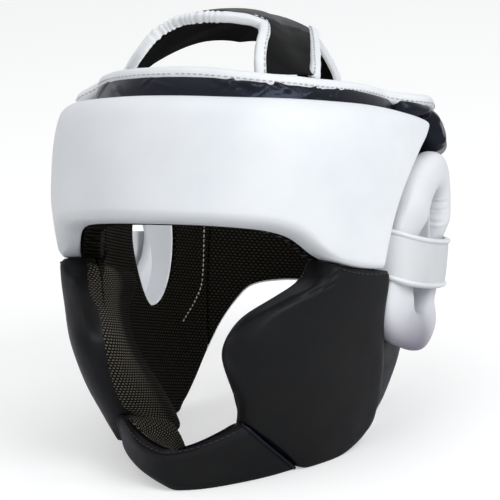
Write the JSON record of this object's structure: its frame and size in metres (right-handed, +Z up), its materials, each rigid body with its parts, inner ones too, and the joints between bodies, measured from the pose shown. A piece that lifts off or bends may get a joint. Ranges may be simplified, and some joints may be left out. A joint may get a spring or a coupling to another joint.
{
  "type": "head guard",
  "caption": "Padded boxing head guard with a forehead pad, cheek pads, chin bar, ear rings and an open crown under a wide strap.",
  "frame": {"origin": "middle of the bounding box on the surface the guard rests on", "axes": "+Z up from that surface, -Y to the front of the face, +X to the wearer's left"},
  "size_m": [0.2152, 0.2634, 0.2435],
  "materials": {
    "white_leather": "smooth coated leather, soft sheen",
    "black_leather": "smooth coated leather, soft sheen",
    "mesh_lining": "black dotted grip mesh"
  },
  "bodies": {
    "root": {"forehead_pad": "white_leather", "front_shell": "black_leather", "lining_front": "mesh_lining", "side_panel_left": "black_leather", "side_panel_right": "black_leather", "lining_side_left": "mesh_lining", "lining_side_right": "mesh_lining", "back_pad": "black_leather", "lining_back": "mesh_lining", "temple_pad_left": "black_leather", "temple_pad_right": "black_leather", "cheek_pad_left": "black_leather", "cheek_pad_right": "black_leather", "chin_bar": "black_leather", "lining_chin": "mesh_lining", "ear_ring_left": "white_leather", "ear_ring_right": "white_leather", "ear_bridge_left": "white_leather", "ear_bridge_right": "white_leather", "rim_binding": "white_leather", "crown_strap": "black_leather", "window_binding_front": "white_leather", "window_binding_left": "white_leather", "window_binding_right": "white_leather", "lower_binding": "white_leather"}
  },
  "joints": []
}
